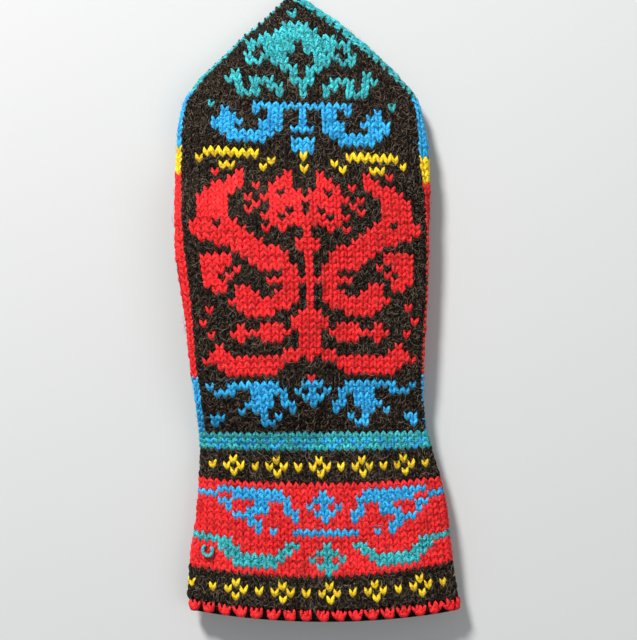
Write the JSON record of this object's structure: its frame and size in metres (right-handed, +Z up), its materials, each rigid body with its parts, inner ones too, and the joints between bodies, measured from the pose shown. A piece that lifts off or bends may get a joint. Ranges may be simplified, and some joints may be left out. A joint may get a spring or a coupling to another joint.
{
  "type": "knitted mitten",
  "caption": "Hand-knitted wool mitten lying palm down, with floral colourwork on the back, a flared cuff, a scalloped hem and a pointed tip.",
  "frame": {"origin": "middle of the mitten's outline, on the surface that it lies on", "axes": "+Y from the cuff's hem towards the fingertips, +X across the hand, +Z up from the surface to the back of the hand"},
  "size_m": [0.1165, 0.2575, 0.0243],
  "materials": {
    "wool_charcoal": "fuzzy brown-black wool yarn with pale stray fibres",
    "wool_red": "fuzzy red wool yarn",
    "wool_blue": "fuzzy blue wool yarn",
    "wool_teal": "fuzzy teal wool yarn",
    "wool_yellow": "fuzzy yellow wool yarn"
  },
  "bodies": {
    "root": {"picot_edge": "wool_red", "cuff": "wool_red", "wrist_braid": "wool_teal", "back_of_hand": "wool_charcoal", "palm": "wool_charcoal", "side_band_left": "wool_blue", "side_band_right": "wool_blue", "thumb": "wool_charcoal"}
  },
  "joints": []
}
